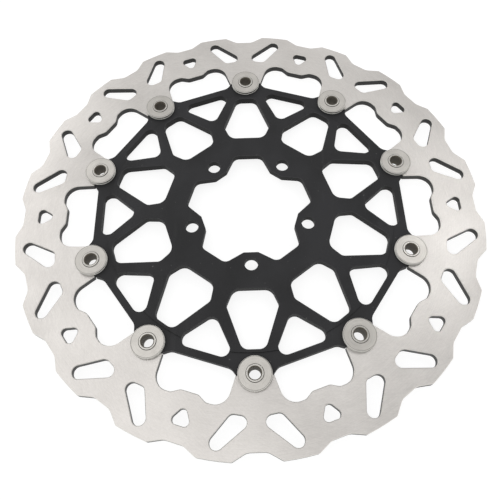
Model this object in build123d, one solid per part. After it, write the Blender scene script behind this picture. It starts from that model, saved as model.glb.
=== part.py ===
from build123d import *
import os
from math import cos, radians, sin

# Floating motorcycle brake disc: a wave-edged steel rotor on a dished truss carrier.
#
# Millimetres. The origin is the centre of the hub bolt circle, on the hub's rear
# (mounting) face. +Z is the wheel's axle, towards the outboard side, where the flat
# washers and the swaged bobbin lips are. Bobbin 01 stands on +Y, and the others follow
# clockwise as seen from +Z. Every piece is drawn with the rotor's rear face on height 0,
# and is moved down by DISH as it is saved.

# ---- driving dimensions -------------------------------------------------------------
BOBBINS = 10
SECTOR = 360 / BOBBINS            # degrees between bobbins
BOBBIN_CIRCLE = 107.5             # radius of the circle that the bobbins stand on

NEAR = 0.02                       # closer than this to a height or a radius counts as on it

# rotor
ROTOR_RADIUS = 155.0              # 310 mm disc
ROTOR_THICK = 5.0
ROTOR_EDGE_BREAK = 0.35           # chamfer on every edge of both faces
TROUGH_HALF_FLAT = 5.8            # dips of the wavy outer edge
TROUGH_HALF_MOUTH = 14.6
TROUGH_MOUTH_RADIUS = 154.5       # height, from the centre, where the dip reaches its mouth
BOBBIN_TROUGH = 149.6             # dip in line with a bobbin
MID_TROUGH = 150.6                # dip midway between two bobbins
TROUGH_FILLET = 7.0
TROUGH_REACH = 165.0              # the cutting shape runs out to here
CREST_FILLET = 2.0
SLOT_FILLET = 4.0                 # every corner of a cleaning slot is this round
SLOT_CORE = [(22.7, 144.0), (9.4, 133.85), (13.0, 133.2)]
EYE_FILLET = 2.7                  # small three-cornered hole between two pairs of slots
EYE_CORE = [(-2.4, 138.5), (2.4, 138.5), (0, 134.7)]
WINDOW_HALF = 22.3                # half width of the gap between two rotor tabs
WINDOW_TOP = 125.3
HUMP_TOP = 122.35
HUMP_HALF_FOOT = 5.5
HUMP_HALF_HEAD = 10.6
WINDOW_FILLET = 9.0
HUMP_FILLET = 4.0

# joint between rotor tabs and carrier lugs
TAB_HALF = 11.2                   # half width of a rotor tab at its tip
LUG_HALF = 11.0                   # half width of a carrier lug at its tip
TAB_TIP = BOBBIN_CIRCLE + 0.6
LUG_TIP = BOBBIN_CIRCLE + 0.1
BARREL_RADIUS = 6.5
NOTCH_CLEARANCE = 0.1             # between a bobbin's barrel and the two half notches

# carrier
DISH = 3.4                        # the hub's rear face stands this far above the rotor's
HUB_THICK = 5.0
HUB_FLAT_RADIUS = 55.0            # the hub is flat inside it, and the spokes slope outside it
LUG_THICK = ROTOR_THICK
STEP_RADIUS = 95.2                # outside it both faces are machined flat for the lugs
FRONT_STEP = 0.6
REAR_STEP = 0.5
CARRIER_EDGE_BREAK = 0.3
BEAM_OUTER = 102.85               # outer edge of the straight beams between the lugs
BEAM_HALF = 18.8
BEAM_FILLET = 6.0
KEYSTONE = [(11.8, 56.2), (16.3, 66.4), (7.0, 93.2)]      # right half, bottom to top
KEYSTONE_FILLETS = [6.3, 4.2, 5.3]
TRIANGLE_TOP = 98.3
TRIANGLE_APEX = 74.7
TRIANGLE_HALF = 20.8
TRIANGLE_FILLET = 4.8
BOLTS = 5
BOLT_CIRCLE = 40.0                # radius: 80 mm pitch circle
BOLT_HOLE_RADIUS = 4.3            # clears an M8 screw
SPIGOT_RADIUS = 32.0              # the five flats of the hub opening touch a 64 mm spigot
SPIGOT_FLAT_HALF = 4.7
LOBE_RADIUS = 41.0
LOBE_FLAT_HALF = 9.4
LOBE_FILLET = 5.0
SPIGOT_FILLET = 1.4

# bobbins and washers
BORE_RADIUS = 3.6
BORE_MOUTH_ROUND = 0.8            # the bore flares out this much where the lip was swaged
BORE_END_BREAK = 0.3
HEAD_RADIUS = 9.0
HEAD_THICK = 1.8
HEAD_EDGE_BREAK = 0.4
SHOULDER = 6.8                    # height of the barrel's shoulder, under the flat washer
NECK_RADIUS = 4.7
LIP_RADIUS = 5.15
LIP_THICK = 0.5
LIP_ROUND = 0.25
WASHER_RADIUS = 10.2
WASHER_THICK = 0.9
WASHER_EDGE_BREAK = 0.3
WASHER_CLEARANCE = 0.1
SPRING_OUTER_RADIUS = 10.2
SPRING_THICK = 0.6
SPRING_INNER_RADIUS = BARREL_RADIUS + 0.2


# ---- helpers ------------------------------------------------------------------------
def turned(point, degrees):
    """A point turned clockwise about the origin, as seen from +Z."""
    x, y = point
    c = cos(radians(degrees))
    s = sin(radians(degrees))
    return (x * c + y * s, y * c - x * s)


def outline(corners):
    """A closed face through (x, y, fillet radius) corners."""
    points = [(x, y) for x, y, _ in corners]
    radii = [radius for _, _, radius in corners]
    return make_face(FilletPolyline(*points, radius=radii, close=True))


def swept(core, radius):
    """The area that a circle covers as its centre goes all over the core triangle."""
    discs = Sketch() + [Pos(x, y) * Circle(radius) for x, y in core]
    return make_hull(discs.edges())


def all_round(shape, count=BOBBINS, start=0.0):
    """Copies of a shape, clockwise about the axle."""
    return [Rot(Z=-(start + k * 360 / count)) * shape for k in range(count)]


def flat_edges(part, height):
    """The edges that lie in the horizontal plane at a height."""
    return [e for e in part.edges() if abs(e.bounding_box().min.Z - height) < NEAR
            and abs(e.bounding_box().max.Z - height) < NEAR]


def ring_edge(part, radius, height):
    """The circular edge of a turned part at a radius and a height."""
    return [e for e in flat_edges(part, height) if abs(e.radius - radius) < NEAR]


def plate(face, bottom, thickness):
    """A flat plate of the face's shape."""
    return Pos(0, 0, bottom) * extrude(face, amount=thickness)


def washer_section(corners):
    """Revolve a closed (radius, height) section about the axle."""
    section = make_face(Polyline(*corners, close=True))
    return revolve(Plane.XZ * section, Axis.Z)


# ---- rotor --------------------------------------------------------------------------
def trough(bottom):
    """One dip of the outer edge, open outwards, on +Y."""
    flare = (TROUGH_HALF_MOUTH - TROUGH_HALF_FLAT) / (TROUGH_MOUTH_RADIUS - bottom)
    wide = TROUGH_HALF_FLAT + flare * (TROUGH_REACH - bottom)
    return outline([
        (-TROUGH_HALF_FLAT, bottom, TROUGH_FILLET),
        (-wide, TROUGH_REACH, 0),
        (wide, TROUGH_REACH, 0),
        (TROUGH_HALF_FLAT, bottom, TROUGH_FILLET),
    ])


def rotor_inside():
    """The opening inside the rotor: ten windows, and a tab at each bobbin."""
    corners = []
    for k in range(BOBBINS):
        for x in (-TAB_HALF, TAB_HALF):
            corners.append((*turned((x, TAB_TIP), k * SECTOR), 0))
        window = [
            (-WINDOW_HALF, WINDOW_TOP, WINDOW_FILLET),
            (-HUMP_HALF_HEAD, WINDOW_TOP, HUMP_FILLET),
            (-HUMP_HALF_FOOT, HUMP_TOP, HUMP_FILLET),
            (HUMP_HALF_FOOT, HUMP_TOP, HUMP_FILLET),
            (HUMP_HALF_HEAD, WINDOW_TOP, HUMP_FILLET),
            (WINDOW_HALF, WINDOW_TOP, WINDOW_FILLET),
        ]
        for x, y, radius in window:
            corners.append((*turned((x, y), (k + 0.5) * SECTOR), radius))
    return outline(corners)


def notches():
    """The round notches that the bobbins stand in."""
    notch = Pos(0, BOBBIN_CIRCLE) * Circle(BARREL_RADIUS + NOTCH_CLEARANCE)
    return all_round(notch)


def make_rotor():
    face = Circle(ROTOR_RADIUS) - all_round(trough(BOBBIN_TROUGH))
    face = face - all_round(trough(MID_TROUGH), start=SECTOR / 2)
    crests = [v for v in face.vertices() if abs(v.center().length - ROTOR_RADIUS) < NEAR]
    face = fillet(crests, CREST_FILLET)
    slot = swept(SLOT_CORE, SLOT_FILLET)
    face = face - all_round(slot) - all_round(mirror(slot, Plane.YZ))
    face = face - all_round(swept(EYE_CORE, EYE_FILLET), start=SECTOR / 2)
    face = face - rotor_inside() - notches()
    rotor = plate(face, 0, ROTOR_THICK)
    rotor = chamfer(flat_edges(rotor, ROTOR_THICK), ROTOR_EDGE_BREAK)
    return chamfer(flat_edges(rotor, 0), ROTOR_EDGE_BREAK)


# ---- carrier ------------------------------------------------------------------------
def carrier_outside():
    """The carrier's rim: a lug at each bobbin, and a straight beam between lugs."""
    corners = []
    for k in range(BOBBINS):
        for x in (-LUG_HALF, LUG_HALF):
            corners.append((*turned((x, LUG_TIP), k * SECTOR), 0))
        for x in (-BEAM_HALF, BEAM_HALF):
            corners.append((*turned((x, BEAM_OUTER), (k + 0.5) * SECTOR), BEAM_FILLET))
    return outline(corners)


def keystone():
    """The large opening in line with a bobbin."""
    right = [(x, y, r) for (x, y), r in zip(KEYSTONE, KEYSTONE_FILLETS)]
    left = [(-x, y, r) for x, y, r in reversed(right)]
    return outline(right + left)


def triangle():
    """The small opening between two bobbins."""
    return outline([
        (0, TRIANGLE_APEX, TRIANGLE_FILLET),
        (TRIANGLE_HALF, TRIANGLE_TOP, TRIANGLE_FILLET),
        (-TRIANGLE_HALF, TRIANGLE_TOP, TRIANGLE_FILLET),
    ])


def hub_opening():
    """The five-lobed centre: flats at the bolts centre it on the wheel's spigot."""
    corners = []
    for k in range(BOLTS):
        at_bolt = 180 + k * 360 / BOLTS
        at_lobe = at_bolt + 180 / BOLTS
        for x in (-SPIGOT_FLAT_HALF, SPIGOT_FLAT_HALF):
            corners.append((*turned((x, SPIGOT_RADIUS), at_bolt), SPIGOT_FILLET))
        for x in (-LOBE_FLAT_HALF, LOBE_FLAT_HALF):
            corners.append((*turned((x, LOBE_RADIUS), at_lobe), LOBE_FILLET))
    return outline(corners)


def dished_blank():
    """The turned blank: a flat hub, a cone under the spokes, and a flat land for the lugs."""
    outside = BOBBIN_CIRCLE + HEAD_RADIUS
    return washer_section([
        (0, DISH),
        (HUB_FLAT_RADIUS, DISH),
        (STEP_RADIUS, -REAR_STEP),
        (STEP_RADIUS, 0),
        (outside, 0),
        (outside, LUG_THICK),
        (STEP_RADIUS, LUG_THICK),
        (STEP_RADIUS, LUG_THICK + FRONT_STEP),
        (HUB_FLAT_RADIUS, DISH + HUB_THICK),
        (0, DISH + HUB_THICK),
    ])


def slope(radius, at_hub, at_step):
    """Height of a dished face at a radius."""
    along = (radius - HUB_FLAT_RADIUS) / (STEP_RADIUS - HUB_FLAT_RADIUS)
    return at_hub + (at_step - at_hub) * max(0.0, along)


def dished_edges(part, at_hub, at_step):
    """The edges of the openings on one dished face, inside the step."""
    found = []
    for edge in part.edges():
        points = [edge @ place for place in (0.0, 0.25, 0.5, 0.75, 1.0)]
        radii = [(p.X ** 2 + p.Y ** 2) ** 0.5 for p in points]
        off = [abs(p.Z - slope(r, at_hub, at_step)) for p, r in zip(points, radii)]
        round_hub = abs(min(radii) - HUB_FLAT_RADIUS) < NEAR
        if max(off) < NEAR and max(radii) < STEP_RADIUS - NEAR and not round_hub:
            found.append(edge)
    return found


def make_carrier():
    bolt_hole = Pos(0, BOLT_CIRCLE) * Circle(BOLT_HOLE_RADIUS)
    face = carrier_outside() - all_round(keystone())
    face = face - all_round(triangle(), start=SECTOR / 2)
    face = face - hub_opening() - all_round(bolt_hole, BOLTS, start=180)
    face = face - notches()
    height = DISH + HUB_THICK + 2 * REAR_STEP
    carrier = dished_blank() & plate(face, -REAR_STEP, height)
    front = (DISH + HUB_THICK, LUG_THICK + FRONT_STEP)
    rear = (DISH, -REAR_STEP)
    for at_hub, at_step in (front, rear):
        rims = dished_edges(carrier, at_hub, at_step)
        carrier = chamfer(rims, CARRIER_EDGE_BREAK)
    return carrier


# ---- bobbins and washers ------------------------------------------------------------
def make_bobbin():
    """Hollow barrel with a rear head, a shoulder, a neck and a lip swaged over."""
    lip_under = SHOULDER + WASHER_THICK
    top = lip_under + LIP_THICK
    body = washer_section([
        (BORE_RADIUS, -HEAD_THICK),
        (HEAD_RADIUS - HEAD_EDGE_BREAK, -HEAD_THICK),
        (HEAD_RADIUS, -HEAD_THICK + HEAD_EDGE_BREAK),
        (HEAD_RADIUS, 0),
        (BARREL_RADIUS, 0),
        (BARREL_RADIUS, SHOULDER),
        (NECK_RADIUS, SHOULDER),
        (NECK_RADIUS, lip_under),
        (LIP_RADIUS, lip_under),
        (LIP_RADIUS, top),
        (BORE_RADIUS, top),
    ])
    body = fillet(ring_edge(body, BORE_RADIUS, top), BORE_MOUTH_ROUND)
    body = fillet(ring_edge(body, LIP_RADIUS, top), LIP_ROUND)
    return chamfer(ring_edge(body, BORE_RADIUS, -HEAD_THICK), BORE_END_BREAK)


def make_flat_washer():
    """Flat washer clamped between the bobbin's shoulder and its lip."""
    top = SHOULDER + WASHER_THICK
    hole = NECK_RADIUS + WASHER_CLEARANCE
    return washer_section([
        (hole, SHOULDER),
        (WASHER_RADIUS, SHOULDER),
        (WASHER_RADIUS, top - WASHER_EDGE_BREAK),
        (WASHER_RADIUS - WASHER_EDGE_BREAK, top),
        (hole, top),
    ])


def make_spring_washer():
    """Cone washer: its rim presses the rotor and carrier back on the bobbin's head."""
    rest = LUG_THICK
    return washer_section([
        (SPRING_INNER_RADIUS, SHOULDER - SPRING_THICK),
        (SPRING_OUTER_RADIUS, rest),
        (SPRING_OUTER_RADIUS, rest + SPRING_THICK),
        (SPRING_INNER_RADIUS, SHOULDER),
    ])


# ---- write one file per piece -------------------------------------------------------
def save(shape, name):
    piece = Pos(0, 0, -DISH) * shape
    piece.label = name
    export_step(piece, f"parts/{name}.step")


def main():
    os.makedirs("parts", exist_ok=True)
    save(make_rotor(), "rotor")
    save(make_carrier(), "carrier")
    turned_parts = {
        "bobbin": make_bobbin(),
        "flat_washer": make_flat_washer(),
        "spring_washer": make_spring_washer(),
    }
    for kind, shape in turned_parts.items():
        on_circle = Pos(0, BOBBIN_CIRCLE) * shape
        for k, piece in enumerate(all_round(on_circle), start=1):
            save(piece, f"{kind}_{k:02d}")


main()
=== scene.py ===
import bpy
import math
from mathutils import Matrix, Vector


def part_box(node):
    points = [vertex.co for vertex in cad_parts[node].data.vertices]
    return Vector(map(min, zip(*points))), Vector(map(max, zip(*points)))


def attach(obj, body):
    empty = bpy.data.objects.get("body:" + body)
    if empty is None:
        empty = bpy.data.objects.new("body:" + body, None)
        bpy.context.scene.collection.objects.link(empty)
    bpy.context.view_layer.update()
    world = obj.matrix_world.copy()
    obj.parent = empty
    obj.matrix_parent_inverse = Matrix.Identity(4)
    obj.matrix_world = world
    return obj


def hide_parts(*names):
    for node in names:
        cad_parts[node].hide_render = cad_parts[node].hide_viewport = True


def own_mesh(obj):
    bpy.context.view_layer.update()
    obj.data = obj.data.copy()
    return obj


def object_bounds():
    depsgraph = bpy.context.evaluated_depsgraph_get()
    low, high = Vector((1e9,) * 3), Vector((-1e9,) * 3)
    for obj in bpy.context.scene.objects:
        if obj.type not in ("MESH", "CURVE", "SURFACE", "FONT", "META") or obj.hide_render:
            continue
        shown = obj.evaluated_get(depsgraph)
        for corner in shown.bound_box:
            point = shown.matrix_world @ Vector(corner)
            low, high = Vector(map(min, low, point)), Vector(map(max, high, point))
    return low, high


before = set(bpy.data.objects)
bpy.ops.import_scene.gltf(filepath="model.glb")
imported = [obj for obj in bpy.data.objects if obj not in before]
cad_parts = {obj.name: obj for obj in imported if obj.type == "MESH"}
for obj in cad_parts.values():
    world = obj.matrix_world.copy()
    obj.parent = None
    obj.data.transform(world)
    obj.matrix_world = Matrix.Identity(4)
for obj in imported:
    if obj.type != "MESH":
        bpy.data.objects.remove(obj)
cad_low, cad_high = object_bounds()

COUNT = 10


# ---- places that come from the frame ---------------------------------------------------
def names(kind):
    return [f"{kind}_{k:02d}" for k in range(1, COUNT + 1)]


spring_low, spring_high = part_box("spring_washer_01")
LIP_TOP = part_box("bobbin_01")[1].z


# ---- camera ----------------------------------------------------------------------------
# The viewpoint is given about a target in the plane of the bobbins' lips.
SENSOR_MM = 36.0
LENS_MM = 39.522
SHIFT_UP = -0.063
DISTANCE = 0.3607
ELEVATION = math.radians(63.275)
ROLL = math.radians(-1.657)
TURN = math.radians(-0.205)
TARGET = (0.00012, -0.00799)


def make_camera():
    back = Vector((0, -math.cos(ELEVATION), math.sin(ELEVATION)))
    right = Vector((1, 0, 0))
    up = back.cross(right)
    c, s = math.cos(ROLL), math.sin(ROLL)
    right, up = c * right + s * up, -s * right + c * up
    place = Vector((TARGET[0], TARGET[1], 0)) + back * DISTANCE
    turn = Matrix.Rotation(TURN, 3, "Z")
    axes = Matrix((turn @ right, turn @ up, turn @ back)).transposed()
    place = turn @ place + Vector((0, 0, LIP_TOP))
    data = bpy.data.cameras.new("camera")
    data.sensor_width = SENSOR_MM
    data.lens = LENS_MM
    data.shift_y = SHIFT_UP
    data.clip_start = 0.01
    data.clip_end = 20.0
    camera = bpy.data.objects.new("camera", data)
    bpy.context.scene.collection.objects.link(camera)
    camera.matrix_world = Matrix.Translation(place) @ axes.to_4x4()
    bpy.context.scene.camera = camera


make_camera()


# ---- node helpers ----------------------------------------------------------------------
FACE = 0.97                       # a surface that faces along the axle more than this is a face


class Nodes:
    """Shorthand for building a node tree."""

    def __init__(self, material):
        self.tree = material.node_tree
        self.tree.nodes.clear()

    def add(self, kind, **settings):
        node = self.tree.nodes.new(kind)
        for name, value in settings.items():
            setattr(node, name, value)
        return node

    def link(self, source, target):
        self.tree.links.new(source, target)

    def feed(self, value, socket):
        if isinstance(value, bpy.types.NodeSocket):
            self.link(value, socket)
        else:
            socket.default_value = value

    def math(self, operation, a, b=0.0):
        node = self.add("ShaderNodeMath", operation=operation)
        self.feed(a, node.inputs[0])
        self.feed(b, node.inputs[1])
        return node.outputs[0]

    def times(self, a, b):
        return self.math("MULTIPLY", a, b)

    def polar(self, x, y):
        """Radius and angle about the vertical line where x and y are 0."""
        square = self.math("ADD", self.times(x, x), self.times(y, y))
        return self.math("SQRT", square), self.math("ARCTAN2", x, y)

    def combine(self, x, y, z):
        node = self.add("ShaderNodeCombineXYZ")
        self.feed(x, node.inputs[0])
        self.feed(y, node.inputs[1])
        self.feed(z, node.inputs[2])
        return node.outputs[0]

    def split(self, vector):
        node = self.add("ShaderNodeSeparateXYZ")
        self.link(vector, node.inputs[0])
        return node.outputs

    def place(self):
        return self.add("ShaderNodeTexCoord").outputs["Object"]

    def noise(self, vector, scale, detail=2.0, roughness=0.5):
        node = self.add("ShaderNodeTexNoise")
        self.link(vector, node.inputs["Vector"])
        node.inputs["Scale"].default_value = scale
        node.inputs["Detail"].default_value = detail
        node.inputs["Roughness"].default_value = roughness
        return node.outputs["Fac"]

    def ramp(self, value, low, high, to_low=0.0, to_high=1.0):
        node = self.add("ShaderNodeMapRange")
        self.feed(value, node.inputs["Value"])
        node.inputs["From Min"].default_value = low
        node.inputs["From Max"].default_value = high
        self.feed(to_low, node.inputs["To Min"])
        self.feed(to_high, node.inputs["To Max"])
        return node.outputs["Result"]

    def mix(self, factor, a, b):
        node = self.add("ShaderNodeMix", data_type="RGBA")
        self.feed(factor, node.inputs["Factor"])
        for value, name in ((a, "A"), (b, "B")):
            socket = [s for s in node.inputs if s.name == name and s.type == "RGBA"][0]
            self.feed(value, socket)
        return [s for s in node.outputs if s.type == "RGBA"][0]

    def wall_and_bevel(self, low, high, flat):
        """Masks for walls and for bevels, from how nearly the surface faces along the axle."""
        normal = self.add("ShaderNodeNewGeometry").outputs["True Normal"]
        up = self.math("ABSOLUTE", self.split(normal)[2])
        wall = self.ramp(up, low, high, 1.0, 0.0)
        bevel = self.times(self.ramp(up, low, high), self.ramp(up, flat, FACE, 1.0, 0.0))
        return wall, bevel

    def bump(self, height, strength, distance):
        node = self.add("ShaderNodeBump")
        node.inputs["Strength"].default_value = strength
        node.inputs["Distance"].default_value = distance
        self.link(height, node.inputs["Height"])
        return node.outputs["Normal"]


def new_material(name):
    material = bpy.data.materials.new(name)
    material.use_nodes = True
    nodes = Nodes(material)
    shader = nodes.add("ShaderNodeBsdfPrincipled")
    output = nodes.add("ShaderNodeOutputMaterial")
    nodes.link(shader.outputs["BSDF"], output.inputs["Surface"])
    return material, nodes, shader


def colour(r, g, b):
    return (r, g, b, 1.0)


# ---- materials -------------------------------------------------------------------------
def rotor_steel():
    """Ground stainless face, with a painted highlight on the edge break, and near-black cut walls
    that are partly a dark coating and partly painted shade.
    """
    material, n, shader = new_material("rotor_steel")
    place = n.place()
    x, y, _ = n.split(place)
    radius, angle = n.polar(x, y)
    # arcs of the grinding wheel: long along the turn, fine across it
    around = n.combine(n.times(radius, 2600.0), n.times(angle, 9.0), 0.0)
    arcs = n.noise(around, 1.0, 4.0, 0.62)
    # a second, slanted set that crosses the arcs
    slant = n.math("ADD", n.times(radius, 1500.0), n.times(angle, 120.0))
    across = n.math("SUBTRACT", n.times(angle, 14.0), n.times(radius, 30.0))
    cross = n.noise(n.combine(slant, across, 3.0), 1.0, 3.0, 0.6)
    cloud = n.noise(place, 22.0, 3.0, 0.55)
    speck = n.noise(place, 900.0, 2.0, 0.6)
    grain = n.math("ADD", n.times(arcs, 0.6), n.times(cross, 0.4))
    tone = n.math("ADD", n.times(grain, 0.5), n.times(cloud, 0.35))
    tone = n.math("ADD", tone, n.times(speck, 0.15))
    face = n.mix(n.ramp(tone, 0.35, 0.65), colour(0.515, 0.492, 0.469), colour(0.71, 0.682, 0.652))
    on_wall, on_bevel = n.wall_and_bevel(0.12, 0.3, 0.85)
    wall_tone = n.noise(n.combine(n.times(angle, 60.0), radius, 0.0), 3.0, 3.0)
    # the cut walls are painted near black: partly a dark coating, partly painted shade
    wall = n.mix(wall_tone, colour(0.006, 0.006, 0.006), colour(0.022, 0.021, 0.019))
    # painted highlight: the bevels are painted bright
    edge = colour(0.74, 0.72, 0.68)
    painted = n.mix(on_wall, n.mix(on_bevel, face, edge), wall)
    n.link(painted, shader.inputs["Base Color"])
    n.link(n.ramp(on_wall, 0.0, 1.0, 0.9, 0.25), shader.inputs["Metallic"])
    rough = n.ramp(grain, 0.3, 0.7, 0.30, 0.40)
    n.link(n.math("ADD", rough, n.times(on_wall, 0.2)), shader.inputs["Roughness"])
    n.link(n.bump(grain, 0.25, 0.00003), shader.inputs["Normal"])
    tangent = n.add("ShaderNodeTangent", direction_type="RADIAL", axis="Z")
    n.link(tangent.outputs[0], shader.inputs["Tangent"])
    shader.inputs["Anisotropic"].default_value = 0.55
    return material


def carrier_anodised():
    """Matt black anodised plate with fine grain, faint handling marks, a painted highlight on the
    edges and painted shade on the walls.
    """
    material, n, shader = new_material("carrier_anodised")
    place = n.place()
    grain = n.noise(place, 1400.0, 3.0, 0.6)
    cloud = n.noise(place, 30.0, 3.0, 0.5)
    spots = n.ramp(n.noise(place, 420.0, 1.0, 0.4), 0.76, 0.82)
    # handling marks are drawn out along y
    stretched = [n.times(v, k) for v, k in zip(n.split(place), (240.0, 30.0, 60.0))]
    rub = n.noise(n.combine(*stretched), 1.0, 3.0)
    on_wall, on_bevel = n.wall_and_bevel(0.3, 0.6, 0.9)
    dark, light = colour(0.020, 0.020, 0.021), colour(0.029, 0.029, 0.031)
    base = n.mix(n.ramp(cloud, 0.35, 0.65), dark, light)
    base = n.mix(n.ramp(rub, 0.62, 0.75, 0.0, 0.25), base, colour(0.045, 0.045, 0.046))
    base = n.mix(n.times(spots, 0.5), base, colour(0.16, 0.16, 0.155))
    # painted highlight: the bevels are painted lighter
    base = n.mix(n.times(on_bevel, 0.6), base, colour(0.06, 0.06, 0.062))
    # painted shade: the walls are painted almost black
    base = n.mix(on_wall, base, colour(0.002, 0.002, 0.002))
    n.link(base, shader.inputs["Base Color"])
    shader.inputs["Metallic"].default_value = 0.0
    shader.inputs["Specular IOR Level"].default_value = 0.22
    n.link(n.ramp(grain, 0.3, 0.7, 0.5, 0.66), shader.inputs["Roughness"])
    n.link(n.bump(grain, 0.18, 0.00004), shader.inputs["Normal"])
    return material


SOFT = 0.00006                    # half the width of the edge of a painted band
BORE_FADE = 0.0001


def turned_steel(name, centre, dark, light, rough, ring_scale, painted_wall_shade, shade_bands=(), bore=0.0):
    """Satin steel with turning rings about its own centre, with painted shade on the walls and a
    painted highlight on the edges.

    The bands are (inner radius, outer radius, colour), rings of painted shade over the steel.
    Inside the bore radius the steel is painted dark as shade in the bore, and made dull.
    """
    material, n, shader = new_material(name)
    place = n.place()
    x, y, z = n.split(place)
    dx, dy = n.math("SUBTRACT", x, centre[0]), n.math("SUBTRACT", y, centre[1])
    radius, angle = n.polar(dx, dy)
    turned = n.combine(n.times(radius, ring_scale), n.times(angle, 0.7), n.times(z, ring_scale))
    rings = n.noise(turned, 1.0, 3.0, 0.6)
    cloud = n.noise(place, 160.0, 3.0, 0.5)
    tone = n.math("ADD", n.times(rings, 0.6), n.times(cloud, 0.4))
    on_wall, on_bevel = n.wall_and_bevel(0.12, 0.4, 0.85)
    base = n.mix(n.ramp(tone, 0.35, 0.65), colour(*dark), colour(*light))
    # painted highlight: the bevels are painted bright
    base = n.mix(on_bevel, base, colour(0.82, 0.80, 0.755))
    # painted shade: the walls are painted dark, by the given weight
    base = n.mix(n.times(on_wall, painted_wall_shade), base, colour(0.10, 0.097, 0.088))
    # painted shade: each band is a dark ring painted over the steel
    for inner, outer, tint in shade_bands:
        within = n.ramp(radius, outer - SOFT, outer + SOFT, 1.0, 0.0)
        inside = n.times(n.ramp(radius, inner - SOFT, inner + SOFT), within)
        base = n.mix(inside, base, colour(*tint))
    # painted shade: inside the bore the steel is painted dark
    in_bore = n.ramp(radius, bore, bore + BORE_FADE, 1.0, 0.0)
    base = n.mix(in_bore, base, colour(0.125, 0.112, 0.090))
    n.link(base, shader.inputs["Base Color"])
    n.link(n.ramp(in_bore, 0.0, 1.0, 0.9, 0.15), shader.inputs["Metallic"])
    shader.inputs["Specular IOR Level"].default_value = 0.2
    satin = n.ramp(rings, 0.3, 0.7, rough - 0.05, rough + 0.06)
    n.link(n.math("ADD", satin, n.times(in_bore, 0.3)), shader.inputs["Roughness"])
    n.link(n.bump(rings, 0.2, 0.00002), shader.inputs["Normal"])
    return material


def dress(node, material):
    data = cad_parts[node].data
    data.materials.clear()
    data.materials.append(material)


def centre_of(node):
    low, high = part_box(node)
    return ((low.x + high.x) / 2, (low.y + high.y) / 2)


BORE_SHADE_RADIUS = 0.0042             # bobbins are painted dark inside this radius, as shade in the bore
# painted shade: a dark ring on the washer round the bobbin's lip, out to 5.5 mm
LIP_SHADE_RING = (0.0, 0.0055, (0.07, 0.065, 0.058))
# painted shade: a thin dark line just inside the washer's rim
RIM_SHADE_LINE = (0.00965, 0.0099, (0.20, 0.19, 0.175))


def bobbin_steel(name, centre):
    dark, light = (0.47, 0.455, 0.425), (0.60, 0.58, 0.545)
    return turned_steel(name, centre, dark, light, 0.28, 5000.0, 0.9, bore=BORE_SHADE_RADIUS)


def washer_steel(name, centre):
    dark, light = (0.475, 0.455, 0.425), (0.61, 0.588, 0.55)
    return turned_steel(name, centre, dark, light, 0.34, 4000.0, 0.3, (LIP_SHADE_RING, RIM_SHADE_LINE))


dress("rotor", rotor_steel())
dress("carrier", carrier_anodised())
for bobbin, washer in zip(names("bobbin"), names("flat_washer")):
    dress(bobbin, bobbin_steel(bobbin, centre_of(bobbin)))
    dress(washer, washer_steel(washer, centre_of(bobbin)))


# ---- spring washers: the cone that flattens when the rotor lifts ------------------------
def ring_mesh(name, section, centre, steps=72):
    """A closed (radius, height) section turned about a vertical line."""
    verts, faces = [], []
    count = len(section)
    for i in range(steps):
        turn = 2 * math.pi * i / steps
        for radius, height in section:
            x, y = radius * math.sin(turn), radius * math.cos(turn)
            verts.append((centre[0] + x, centre[1] + y, height))
    for i in range(steps):
        for j in range(count):
            a, b = i * count + j, i * count + (j + 1) % count
            c, d = ((i + 1) % steps) * count + (j + 1) % count, ((i + 1) % steps) * count + j
            faces.append((a, b, c, d))
    mesh = bpy.data.meshes.new(name)
    mesh.from_pydata(verts, [], faces)
    mesh.validate()
    mesh.update()
    for polygon in mesh.polygons:
        polygon.use_smooth = True
    piece = bpy.data.objects.new(name, mesh)
    bpy.context.scene.collection.objects.link(piece)
    return piece


SPRING_THICK = 0.0006
SPRING_INNER = 0.0067
RIM_ROUND = 0.0001
LIT_RIM = 0.0005                  # width of the rim that is not in the flat washer's shade
spring_outer = (spring_high.x - spring_low.x) / 2


def spring_section(low, top):
    """(radius, height) corners of the cone, with a rounded rim."""
    return [
        (SPRING_INNER, top - SPRING_THICK),
        (spring_outer - 2 * RIM_ROUND, low),
        (spring_outer, low + RIM_ROUND),
        (spring_outer, low + SPRING_THICK - RIM_ROUND),
        (spring_outer - 2 * RIM_ROUND, low + SPRING_THICK),
        (SPRING_INNER, top),
    ]


def spring_steel(name, centre):
    dark, light = (0.40, 0.40, 0.37), (0.52, 0.52, 0.48)
    shaded = (0.0, spring_outer - LIT_RIM, (0.03, 0.029, 0.027))
    return turned_steel(name, centre, dark, light, 0.38, 3500.0, 0.0, (shaded,))


for k, (node, bobbin) in enumerate(zip(names("spring_washer"), names("bobbin")), start=1):
    section = spring_section(spring_low.z, spring_high.z)
    piece = ring_mesh(f"spring_cone_{k:02d}", section, centre_of(bobbin))
    piece.data.materials.append(spring_steel(f"spring_steel_{k:02d}", centre_of(bobbin)))
    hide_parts(node)
    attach(piece, bobbin)
    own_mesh(piece)


# ---- floor, light ----------------------------------------------------------------------
FLOOR_SIZE = 3.0
FLOOR_GAP = 0.0002
FLOOR_GLOW = 0.84
HORIZON_LIGHT = 0.98
OVERHEAD_LIGHT = 0.60


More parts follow.
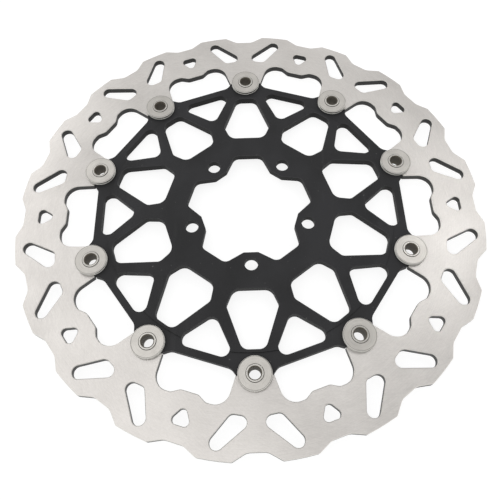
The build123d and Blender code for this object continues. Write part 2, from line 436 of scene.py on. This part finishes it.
def make_floor():
    material, n, shader = new_material("floor")
    tint = n.mix(n.noise(n.place(), 3.0), colour(0.24, 0.24, 0.24), colour(0.26, 0.26, 0.26))
    n.link(tint, shader.inputs["Base Color"])
    shader.inputs["Roughness"].default_value = 0.9
    shader.inputs["Specular IOR Level"].default_value = 0.1
    shader.inputs["Emission Color"].default_value = (1, 1, 1, 1)
    shader.inputs["Emission Strength"].default_value = FLOOR_GLOW
    h = FLOOR_SIZE
    z = cad_low.z - FLOOR_GAP
    mesh = bpy.data.meshes.new("floor")
    mesh.from_pydata([(-h, -h, z), (h, -h, z), (h, h, z), (-h, h, z)], [], [(0, 1, 2, 3)])
    mesh.materials.append(material)
    floor = bpy.data.objects.new("floor", mesh)
    bpy.context.scene.collection.objects.link(floor)


def soft_light(name, place, size, power):
    """A rectangular lamp aimed at the origin."""
    data = bpy.data.lights.new(name, "AREA")
    data.shape = "RECTANGLE"
    data.size, data.size_y = size
    data.energy = power
    lamp = bpy.data.objects.new(name, data)
    bpy.context.scene.collection.objects.link(lamp)
    lamp.location = place
    lamp.rotation_mode = "QUATERNION"
    lamp.rotation_quaternion = (-Vector(place)).to_track_quat("-Z", "Y")


def make_light():
    world = bpy.data.worlds.new("studio")
    world.use_nodes = True
    shade = world.node_tree.nodes["Background"]
    shade.inputs["Color"].default_value = (1.0, 1.0, 1.0, 1.0)
    # as light as the floor at the horizon, and softer overhead
    tree = world.node_tree
    sky = tree.nodes.new("ShaderNodeTexCoord")
    parts = tree.nodes.new("ShaderNodeSeparateXYZ")
    fade = tree.nodes.new("ShaderNodeMapRange")
    fade.inputs["From Min"].default_value = 0.05
    fade.inputs["From Max"].default_value = 0.45
    fade.inputs["To Min"].default_value = HORIZON_LIGHT
    fade.inputs["To Max"].default_value = OVERHEAD_LIGHT
    tree.links.new(sky.outputs["Generated"], parts.inputs[0])
    tree.links.new(parts.outputs["Z"], fade.inputs["Value"])
    tree.links.new(fade.outputs["Result"], shade.inputs["Strength"])
    bpy.context.scene.world = world
    soft_light("overhead", (-0.3, -0.2, 1.3), (1.3, 1.0), 3.7)
    soft_light("right", (0.60, 0.49, 1.18), (0.25, 0.25), 0.9)
    soft_light("far", (0.2, 1.15, 1.1), (0.6, 0.6), 0.6)
    soft_light("far_left", (-0.9, 0.9, 1.0), (0.7, 0.7), 3.0)


make_floor()
make_light()
bpy.context.scene.view_settings.view_transform = "Standard"
bpy.context.scene.view_settings.look = "None"
